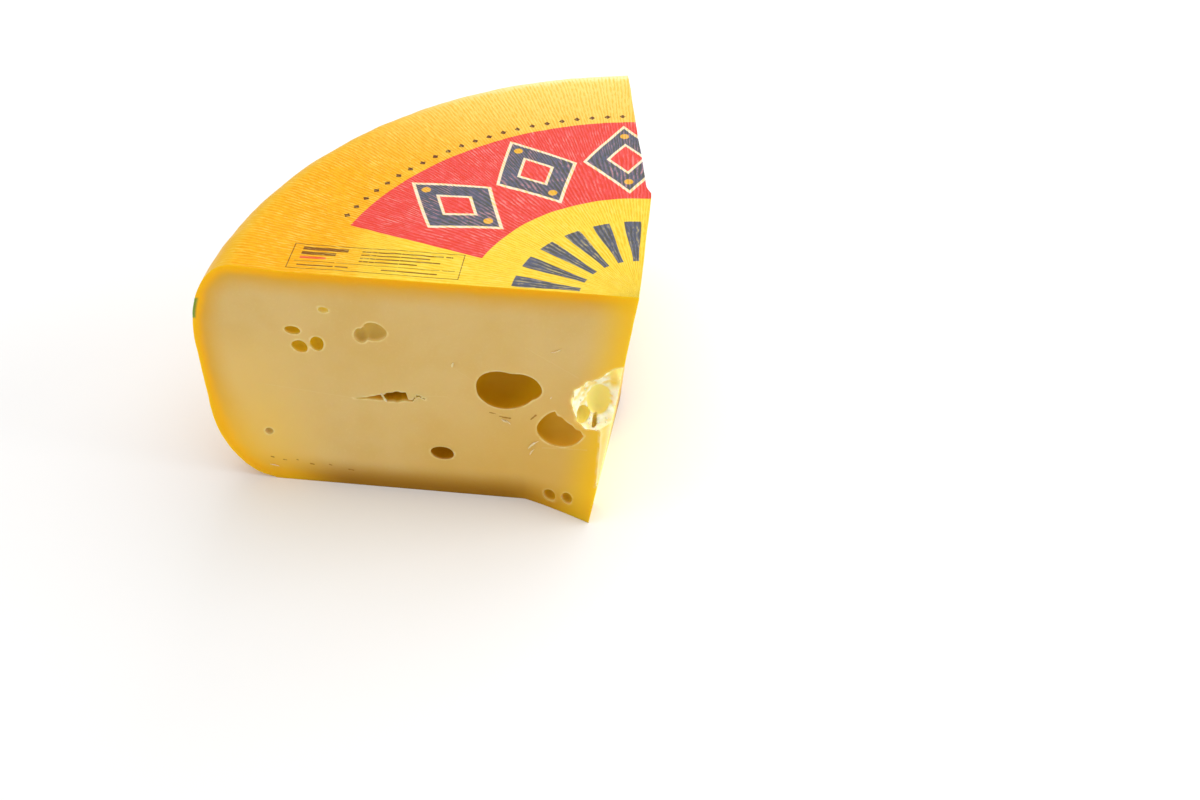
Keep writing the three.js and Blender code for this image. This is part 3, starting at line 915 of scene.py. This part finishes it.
# Where the paste's tones begin and end, in mm: along X and Z, past the corner along Y, or in depth from the
# rind, the corner and the nearest lip. The smear is ink that the knife drew off the rim.
LOW_REACH, LOW_STEEPNESS = (15.0, 120.0), 1.4
FAR_LEFT_X, LEFT_LIT_Z, LOW_LEFT_LIT_Z = (-152.0, -112.0), (55.0, 85.0), (15.0, 60.0)
AMBER_DEPTH, EDGE_DEPTH, EDGE_RAGGED, LEFT_SPREAD = (1.0, 13.0), (1.0, 5.0), 2.0, 0.7
GLOW_DEPTH, FOOT_Z, FOOT_FROM_CORNER, FOOT_X = (0.0, 18.0), (1.0, 15.0), (4.0, 40.0), (-142.0, -112.0)
CORNER_Y, CORNER_FAR_Y = (0.3, 1.0), (16.0, 60.0)
LIP_DEPTH, LIP_UNEVEN, LIP_Z = (0.1, 1.0), (0.35, 0.65), (9.0, 20.0)
SMEAR = dict(z=(80.0, 89.5), soft=0.6, x=(-130.0, -120.0), depth=(0.5, 1.9), share=0.85)
FRONT_Y = (0.6, 1.5)


def drag_mark_group():
    """A thin straight mark on the front cut between two places, given as (x, 0, z) in mm."""
    ends = dict(Start="Vector", End="Vector")
    tree, given, out = new_group("drag_mark", dict(Place="Vector", Width="Float", **ends), dict(Mark="Float"))

    def vector(operation, *values):
        made = node(tree, "ShaderNodeVectorMath", operation=operation)
        for socket, value in zip(made.inputs, values):
            put(socket, value)
        return made.outputs

    flat = vector("MULTIPLY", given["Place"], (1, 0, 1))[0]
    span = vector("SUBTRACT", given["End"], given["Start"])[0]
    reach = vector("SUBTRACT", flat, given["Start"])[0]
    along = calc("DIVIDE", vector("DOT_PRODUCT", reach, span)["Value"],
                 vector("DOT_PRODUCT", span, span)["Value"])
    along = node(tree, "ShaderNodeClamp", {"Value": along}).outputs[0]
    scaled = node(tree, "ShaderNodeVectorMath", {"Scale": along}, operation="SCALE")
    put(scaled.inputs[0], span)
    away = vector("LENGTH", vector("SUBTRACT", reach, scaled.outputs[0])[0])["Value"]
    width = times(given["Width"], ease(noise(given["Place"], 0.5), (0.3, 0.6), 0.35))
    put(out["Mark"], fade(calc("DIVIDE", away, width), (0.3, 1.0)))
    return tree


drag_mark = drag_mark_group()

# Each mark's start and end as X and Z, and its width.
PALE_MARKS = [
    ((-140.8, 50.1), (-107.4, 46.5), 0.35),
    ((-81, 50.3), (-71, 50.9), 0.4),
    ((-67, 64.6), (-59, 58.6), 0.3),
    ((-40.8, 77.7), (-21.8, 65.3), 0.4),
    ((-53.5, 44.9), (-47.8, 42.7), 0.5),
    ((-36, 28.6), (-19, 29.4), 0.5),
]
# Nicks and small pits on the front cut, painted dark as the shade in them and sunk by bump.
NICKS = [
    ((-55.4, 44.7), (-53.2, 44.3), 0.45),
    ((-51.6, 43.1), (-47.8, 42.6), 0.7),
    ((-39.7, 43.0), (-37.9, 45.2), 0.6),
    ((-144.2, 11.6), (-143.4, 11.4), 0.6),
    ((-139.5, 10.6), (-138.2, 10.4), 0.45),
    ((-134.0, 11.0), (-133.4, 10.8), 0.5),
    ((-128.6, 9.4), (-127.2, 9.2), 0.6),
    ((-121.0, 9.8), (-120.2, 9.5), 0.45),
    ((-113.4, 8.1), (-111.6, 7.8), 0.55),
]
PALE_SHARE, NICK_SHADE_SHARE, PALE_DEPTH, NICK_DEPTH = 0.16, 0.8, -0.5, -1.5


def drawn_marks(tree, at, marks):
    """The marks of a list together, on the front cut alone."""
    drawn = 0.0
    for start, end, width in marks:
        ends = dict(Start=(start[0], 0, start[1]), End=(end[0], 0, end[1]))
        one = use(tree, drag_mark, Place=at["Place"], Width=width, **ends)["Mark"]
        drawn = calc("MAXIMUM", drawn, one)
    return times(drawn, fade(at["Y"], FRONT_Y))


def paste_tones(tree, at, cloud, curd):
    """The paste's own colour from the rind inwards, before its lips, marks and smear."""
    colour = tint(ease(cloud, (0.35, 0.7)), PASTE, PASTE_DULL)
    colour = tint(ease(curd, (0.5, 0.9), 0.0, 0.25), colour, PASTE_PALE_AND_LIP_HIGHLIGHT)
    steep = times(at["Z"], LOW_STEEPNESS)
    from_toe = calc("SQRT", calc("MULTIPLY_ADD", at["X"], at["X"], times(steep, steep)))
    colour = tint(fade(from_toe, LOW_REACH, 0.75), colour, PASTE_LOW)
    # Painted light: the left part of the cut is painted brighter and warmer, most of all low down, where the
    # band under the rind is also widened and painted as its lit copy, as if lit from the left.
    lit_far_left = fade(at["X"], FAR_LEFT_X)
    colour = tint(times(lit_far_left, fade(at["Z"], LEFT_LIT_Z, 0.9)), colour, PASTE_LEFT_LIT)
    lit_low_left = times(lit_far_left, fade(at["Z"], LOW_LEFT_LIT_Z))
    colour = tint(times(lit_low_left, 0.7), colour, PASTE_LOW_LEFT_LIT)

    ragged = calc("MULTIPLY_ADD", noise(at["Place"], 0.12, 3.0), EDGE_RAGGED, -EDGE_RAGGED / 2)
    rind_depth = calc("ADD", mark(tree, "rind_depth"), ragged)
    rind_depth = calc("DIVIDE", rind_depth, calc("MULTIPLY_ADD", lit_low_left, LEFT_SPREAD, 1.0))
    amber = tint(lit_low_left, PASTE_AMBER, PASTE_AMBER_LIT)
    colour = tint(fade(rind_depth, AMBER_DEPTH, 0.9), colour, amber)
    edge = tint(lit_far_left, PASTE_EDGE, PASTE_EDGE_LIT)
    colour = tint(ease(rind_depth, EDGE_DEPTH), edge, colour)

    # Painted glow: near the corner the paste is painted bright gold, for light that passes through the thin
    # corner.
    corner_depth = mark(tree, "corner_depth")
    colour = tint(fade(corner_depth, GLOW_DEPTH, 0.9), colour, PASTE_PAINTED_GLOW)
    # Painted shade: the cut is painted darker towards its foot, less near the corner and at the far left, for
    # the shade where it meets the floor.
    foot = times(fade(at["Z"], FOOT_Z, 0.9), ease(corner_depth, FOOT_FROM_CORNER, 0.3),
                 ease(at["X"], FOOT_X, 0.15))
    colour = tint(foot, colour, PASTE_FOOT_SHADE)
    # Painted glow: the right cut just past the corner is painted bright, for the same light through the
    # corner.
    past_corner = times(ease(at["Y"], CORNER_Y), fade(at["Y"], CORNER_FAR_Y))
    return tint(past_corner, colour, PASTE_CORNER_GLOW)


def paste_finish():
    material, tree, shader = new_finish("cut_paste", Specular_IOR_Level=0.13, **TRANSLUCENT)
    at = use(tree, wheel_place)
    cloud = noise(at["Place"], 0.035, 4.0, 0.55)
    curd = noise(at["Place"], 0.9, 3.0, 0.6)
    colour = paste_tones(tree, at, cloud, curd)
    uneven = times(ease(noise(at["Place"], 0.3), LIP_UNEVEN, 0.1, 0.75),
                   ease(at["Z"], LIP_Z, 0.3))
    # Painted highlight: the cut is painted paler just at every mouth's lip, unevenly and less low down.
    colour = tint(times(fade(mark(tree, "lip_depth"), LIP_DEPTH), uneven), colour, PASTE_PALE_AND_LIP_HIGHLIGHT)
    smear = times(band(at["Z"], SMEAR["z"], SMEAR["soft"]), fade(at["X"], SMEAR["x"]),
                  fade(mark(tree, "rind_depth"), SMEAR["depth"], SMEAR["share"]))
    colour = tint(smear, colour, PRINT_GREEN)
    marks = drawn_marks(tree, at, PALE_MARKS)
    nicks = drawn_marks(tree, at, NICKS)
    colour = tint(times(marks, PALE_SHARE), colour, PASTE_PALE_AND_LIP_HIGHLIGHT)
    # Painted shade: the nicks and small pits are painted dark.
    colour = tint(times(nicks, NICK_SHADE_SHARE), colour, PASTE_NICK_SHADE)
    put(shader["Base Color"], colour)
    put(shader["Roughness"], ease(cloud, (0.3, 0.7), 0.42, 0.52))
    level = node(tree, "ShaderNodeVectorMath", {0: at["Place"], 1: (0.06, 0.06, 0.7)}, operation="MULTIPLY")
    drag = noise(level.outputs[0], 1.0, 3.0)
    height = calc("MULTIPLY_ADD", curd, 0.5, times(drag, 0.5))
    height = calc("MULTIPLY_ADD", marks, PALE_DEPTH, height)
    height = calc("MULTIPLY_ADD", nicks, NICK_DEPTH, height)
    put(shader["Normal"], bump(height, 0.35, 0.25))
    return material


# ---- Walls of the hollows -----------------------------------------------------------------------------
# In the eyes and the split the gas pressed the paste smooth, wet and deep golden. Their walls are painted
# darker with depth as shade and paler at the lip as a highlight, and some are painted lit. Where the chunk
# was pulled off it is dry, pale and crumbly, with curd grains that stand out white over golden clefts; its
# near-white and gold, and those of the eyes in the tear, are in part a painted glow of light through the thin
# corner.

WALL = paint(222, 177, 46)
WALL_DEEP_SHADE = paint(212, 161, 20)
WALL_LIT = paint(248, 204, 74)
WALL_HIGH_LIT = paint(240, 204, 44)
WALL_DULL = paint(212, 174, 86)
WALL_LOW = paint(194, 134, 6)
SMOOTH_TEAR = paint(240, 208, 84)
SLIVER_PASTE = paint(234, 200, 84)
CORNER_WALL_GLOW = paint(255, 236, 138)
TORN = paint(255, 248, 220)
TORN_CLEFT = paint(255, 230, 150)

# Where each kind of wall lies, in mm along X and Z, or in depth from a cut or from the corner.
DEEP_WALL_SHADE, LIP_HIGHLIGHT_DEPTH = (0.3, 2.6), (0.1, 1.6)
LOW_EYES = dict(z=(14.0, 34.0), x=(-60.0, -45.0))
HIGH_EYES = dict(x=(-112.0, -108.0), z=(55.0, 65.0))
SHALLOW_PAIR = dict(x=(-106.0, -90.0), z=(70.0, 72.0))
SHALLOW_PIT_X = (-141.0, -139.0)
NEAR_CORNER = dict(depth=(17.0, 29.0), z=(12.0, 26.0))
IN_SPLIT = dict(z=(43.5, 53.0), x=(-98.5, -95.5))
SLIVER_TO_TEAR_Z, CLEFT_SPAN = (40.0, 46.0), (-0.7, 0.3)


def eye_walls(tree, at, cut_depth):
    # Painted shade: each eye's wall is painted a little darker with depth below the cut.
    wall = tint(ease(cut_depth, DEEP_WALL_SHADE), WALL, WALL_DEEP_SHADE)
    low = times(fade(at["Z"], LOW_EYES["z"], 0.8), ease(at["X"], LOW_EYES["x"], 1.0, 0.2))
    wall = tint(low, wall, WALL_LOW)
    # Painted light: the small high eyes at the left are painted brighter, for light on their shallow floors.
    high = times(fade(at["X"], HIGH_EYES["x"], 0.85), ease(at["Z"], HIGH_EYES["z"]))
    wall = tint(high, wall, WALL_HIGH_LIT)
    pair = times(band(at["X"], SHALLOW_PAIR["x"], 1.0), ease(at["Z"], SHALLOW_PAIR["z"]))
    shallow = calc("MAXIMUM", pair, fade(at["X"], SHALLOW_PIT_X))
    wall = tint(times(shallow, 0.9), wall, WALL_DULL)
    near_corner = times(fade(mark(tree, "corner_depth"), NEAR_CORNER["depth"], 0.7),
                        ease(at["Z"], NEAR_CORNER["z"]))
    in_split = times(band(at["Z"], IN_SPLIT["z"], 0.5), fade(at["X"], IN_SPLIT["x"], 0.8))
    return tint(calc("MAXIMUM", near_corner, in_split), wall, WALL_LIT)


def hollow_finish():
    material, tree, shader = new_finish("hollow_wall", Specular_IOR_Level=0.06, **TRANSLUCENT)
    at = use(tree, wheel_place)
    cut_depth, torn_share = mark(tree, "cut_depth"), mark(tree, "torn")
    # Painted glow: the walls of the tear are painted near white and gold, for light that passes through the
    # thin corner.
    wall = tint(mark(tree, "tear"), eye_walls(tree, at, cut_depth), CORNER_WALL_GLOW)
    smooth_paste = tint(ease(at["Z"], SLIVER_TO_TEAR_Z), SLIVER_PASTE, SMOOTH_TEAR)
    wall = tint(mark(tree, "smooth_tear"), wall, smooth_paste)
    # Painted highlight: each wall is painted paler just below its lip.
    wall = tint(fade(cut_depth, LIP_HIGHLIGHT_DEPTH, 0.6), wall, PASTE_PALE_AND_LIP_HIGHLIGHT)
    grains = noise(at["Place"], 0.55, 4.0, 0.65)
    # The torn paste is pale and dry, and its near-white is in part a painted glow of light through the thin
    # corner.
    crumbly = tint(ease(mark(tree, "crumb"), CLEFT_SPAN), TORN_CLEFT, TORN)
    put(shader["Base Color"], tint(torn_share, wall, crumbly))
    wet = ease(noise(at["Place"], 0.5), (0.3, 0.7), 0.3, 0.42)
    dry = ease(grains, (0.3, 0.7), 0.65, 0.5)
    rough = calc("MULTIPLY_ADD", calc("SUBTRACT", dry, wet), torn_share, wet)
    put(shader["Roughness"], rough)
    height = times(grains, calc("MULTIPLY_ADD", torn_share, 0.3, 0.06))
    put(shader["Normal"], bump(height, 1.0, 1.0))
    return material


for finish in (rind_finish(), paste_finish(), hollow_finish()):
    cheese_quarter.data.materials.append(finish)


# ---- Flakes and crumbs --------------------------------------------------------------------------------
# Thin curled shavings of paste that the knife left on the front cut, one of them across the split, and the
# loose crumbs that stuck in the tear. They are the same paste, dried nearly white; the crumbs' near-white is
# in part a painted glow of light through the thin corner.

# Each flake's start and end as X and Z on the front cut, its width, and how far its middle bows aside.
FLAKES = [
    dict(start=(-96.3, 50.2), end=(-94.5, 45.8), width=0.95, bow=0.25),
    dict(start=(-51.0, 41.9), end=(-48.3, 40.6), width=0.75, bow=-0.3),
    dict(start=(-49.3, 41.4), end=(-47.6, 39.4), width=0.5, bow=0.2),
    dict(start=(-41.4, 27.6), end=(-37.3, 31.9), width=0.8, bow=0.5),
    dict(start=(-40.8, 24.4), end=(-39.0, 27.6), width=0.6, bow=0.4),
    dict(start=(-31.6, 76.5), end=(-27.4, 78.7), width=0.45, bow=-0.4),
    dict(start=(-68.3, 65.9), end=(-67.5, 68.1), width=0.9, bow=0.1),
    dict(start=(-32.2, 53.9), end=(-31.8, 55.2), width=0.4, bow=0.0),
    dict(start=(-145.4, 7.4), end=(-141.6, 6.6), width=0.5, bow=0.3),
]
FLAKE_STATIONS, FLAKE_SIDES = 14, 10
FLAKE_PROUD, FLAKE_UNEVEN, FLAKE_LIFT, FLAKE_SEAT = 0.55, 0.18, 0.3, 0.12
CRUMBS, CRUMB_SIZES, CRUMB_SUNK, CRUMB_LUMPS = 18, (0.3, 0.6), 0.2, 0.22
CRUMB_FLOOR = dict(above=39.5, z=(41, 50), elsewhere=0.15)
FLAKE_PALE = paint(250, 230, 180)
FLAKE_GOLD = paint(240, 206, 134)
# Near white, in part a painted glow of light through the thin corner.
CRUMB_PALE = paint(255, 252, 230)
CRUMB_GOLD = paint(255, 240, 180)


def make_flakes():
    draw = np.random.default_rng(21)
    points, faces = [], []
    t = np.linspace(0, 1, FLAKE_STATIONS)
    arch = np.sin(math.pi * t)
    turn = np.linspace(0, 2 * math.pi, FLAKE_SIDES, endpoint=False)
    for flake in FLAKES:
        start, end, width = np.array(flake["start"]), np.array(flake["end"]), flake["width"]
        along = (end - start) / np.linalg.norm(end - start)
        side = np.array([-along[1], along[0]])
        swell = np.sin(math.pi * (0.04 + 0.92 * t)) ** 0.6 * (1 + FLAKE_UNEVEN * draw.normal(size=len(t)))
        middle = start + (end - start) * t[:, None] + side * (flake["bow"] * arch)[:, None]
        lift = -FLAKE_SEAT * width - FLAKE_LIFT * width * arch * draw.uniform(0.6, 1.2)
        half = 0.5 * width * swell
        across = half[:, None] * np.cos(turn)
        proud = FLAKE_PROUD * half[:, None] * np.sin(turn)
        face_y = np.array([float(front_cut_y(*place)) for place in middle])
        ring = np.stack([
            middle[:, :1] + side[0] * across,
            (face_y + lift)[:, None] - proud,
            middle[:, 1:] + side[1] * across,
        ], axis=2)
        first = len(points)
        points.extend(ring.reshape(-1, 3))
        for i in range(FLAKE_STATIONS - 1):
            for j in range(FLAKE_SIDES):
                k = (j + 1) % FLAKE_SIDES
                a, b = first + i * FLAKE_SIDES, first + (i + 1) * FLAKE_SIDES
                faces.append((a + j, b + j, b + k, a + k))
        last = first + (FLAKE_STATIONS - 1) * FLAKE_SIDES
        faces.append(tuple(first + j for j in range(FLAKE_SIDES)))
        faces.append(tuple(last + j for j in reversed(range(FLAKE_SIDES))))
    return points, faces


def make_crumbs():
    """Lumpy grains set on the torn skin, closer together on its floor."""
    draw = np.random.default_rng(33)
    ball = bmesh.new()
    bmesh.ops.create_icosphere(ball, subdivisions=2, radius=1)
    unit = np.array([vertex.co[:] for vertex in ball.verts])
    rings = [tuple(vertex.index for vertex in face.verts) for face in ball.faces]
    ball.free()
    seat = np.flatnonzero((torn > 0.9) & (skin_z > CRUMB_FLOOR["above"]))
    weight = CRUMB_FLOOR["elsewhere"] + 1 - smooth(skin_z[seat], *CRUMB_FLOOR["z"])
    chosen = draw.choice(seat, CRUMBS, replace=False, p=weight / weight.sum())
    points, faces = [], []
    for place in relief_points[chosen] - CRUMB_SUNK * normals[chosen]:
        size = draw.uniform(*CRUMB_SIZES) * draw.uniform(0.7, 1.2, size=3)
        lumps = ripples(unit + draw.uniform(0, 9, size=3), (0.9, 2.2), 6, 9)
        first = len(points)
        points.extend(place + unit * (1 + CRUMB_LUMPS * lumps[:, None]) * size)
        faces.extend(tuple(first + n for n in ring) for ring in rings)
    return points, faces


def make_bits(name, points, faces, finish):
    mesh = bpy.data.meshes.new(name)
    places = (np.array(points) + (axis_x, axis_y, 0)) * MM
    mesh.from_pydata(places.tolist(), [], faces)
    mesh.polygons.foreach_set("use_smooth", np.ones(len(faces), dtype=bool))
    mesh.materials.append(finish)
    bits = bpy.data.objects.new(name, mesh)
    bpy.context.collection.objects.link(bits)
    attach(bits, "root")


def curd_finish(name, gold, pale):
    material, tree, shader = new_finish(name, Specular_IOR_Level=0.2, Roughness=0.6, **TRANSLUCENT)
    at = use(tree, wheel_place)
    grains = noise(at["Place"], 1.4, 3.0, 0.6)
    put(shader["Base Color"], tint(ease(grains, (0.35, 0.65)), gold, pale))
    put(shader["Normal"], bump(grains, 0.5, 0.2))
    return material


make_bits("curd_flakes", *make_flakes(), curd_finish("dry_curd", FLAKE_GOLD, FLAKE_PALE))
make_bits("curd_crumbs", *make_crumbs(), curd_finish("moist_curd", CRUMB_GOLD, CRUMB_PALE))


# ---- Floor, light and camera --------------------------------------------------------------------------
# A plain pale floor under soft studio light: wide panels overhead, behind and to the right, and a weaker one
# at the left, so that the front cut is left in soft shade. The camera looks down on the front.

# Each panel's place and size in metres, and its power in watts. All of them face the middle of the cheese.
PANELS = {
    "overhead_panel": ((0.1, 0.2, 1.1), (1.4, 1.2), 5.9),
    "back_panel": ((0.5, 1.3, 0.7), (1.8, 1.2), 8.3),
    "right_panel": ((1.2, 0.1, 0.5), (0.9, 0.9), 8.5),
    "left_panel": ((-1.1, -0.5, 0.5), (0.8, 0.8), 2.8),
}
PANEL_TARGET = (0, 0, 0.05)
WORLD_STRENGTH = 0.6
FLOOR_WIDTH, FLOOR_GREY = 6, (0.9, 0.9, 0.9, 1)
LENS, SENSOR = 45, 36
AZIMUTH, ELEVATION, ROLL = math.radians(6.899), math.radians(42.163), math.radians(-0.13)
CAMERA_DISTANCE, CAMERA_TARGET = 632.37, (-21.17, 60.76, 0)


def make_floor():
    bpy.ops.mesh.primitive_plane_add(size=FLOOR_WIDTH, location=(0, 0, 0))
    floor = bpy.context.object
    floor.name = "floor"
    material, tree, shader = new_finish("pale_floor", Base_Color=FLOOR_GREY, Roughness=0.7)
    floor.data.materials.append(material)


def add_panel(name, place, size, power):
    data = bpy.data.lights.new(name, "AREA")
    data.shape = "RECTANGLE"
    data.size, data.size_y = size
    data.energy = power
    light = bpy.data.objects.new(name, data)
    light.location = place
    light.rotation_euler = (Vector(place) - Vector(PANEL_TARGET)).to_track_quat("Z", "Y").to_euler()
    bpy.context.collection.objects.link(light)


def make_world():
    world = bpy.data.worlds.new("studio")
    world.use_nodes = True
    background = world.node_tree.nodes["Background"].inputs
    background["Color"].default_value = (1, 1, 1, 1)
    background["Strength"].default_value = WORLD_STRENGTH
    bpy.context.scene.world = world
    bpy.context.scene.view_settings.view_transform = "Standard"


def make_camera():
    data = bpy.data.cameras.new("camera")
    data.lens, data.sensor_width = LENS, SENSOR
    camera = bpy.data.objects.new("camera", data)
    level = math.cos(ELEVATION)
    back = Vector((math.sin(AZIMUTH) * level, -math.cos(AZIMUTH) * level, math.sin(ELEVATION)))
    target = (Vector(CAMERA_TARGET) + Vector((axis_x, axis_y, 0))) * MM
    camera.location = target + back * CAMERA_DISTANCE * MM
    camera.rotation_euler = back.to_track_quat("Z", "Y").to_euler()
    camera.rotation_euler.rotate_axis("Z", ROLL)
    bpy.context.collection.objects.link(camera)
    bpy.context.scene.camera = camera


make_floor()
for panel_name, (place, size, power) in PANELS.items():
    add_panel(panel_name, place, size, power)
make_world()
make_camera()
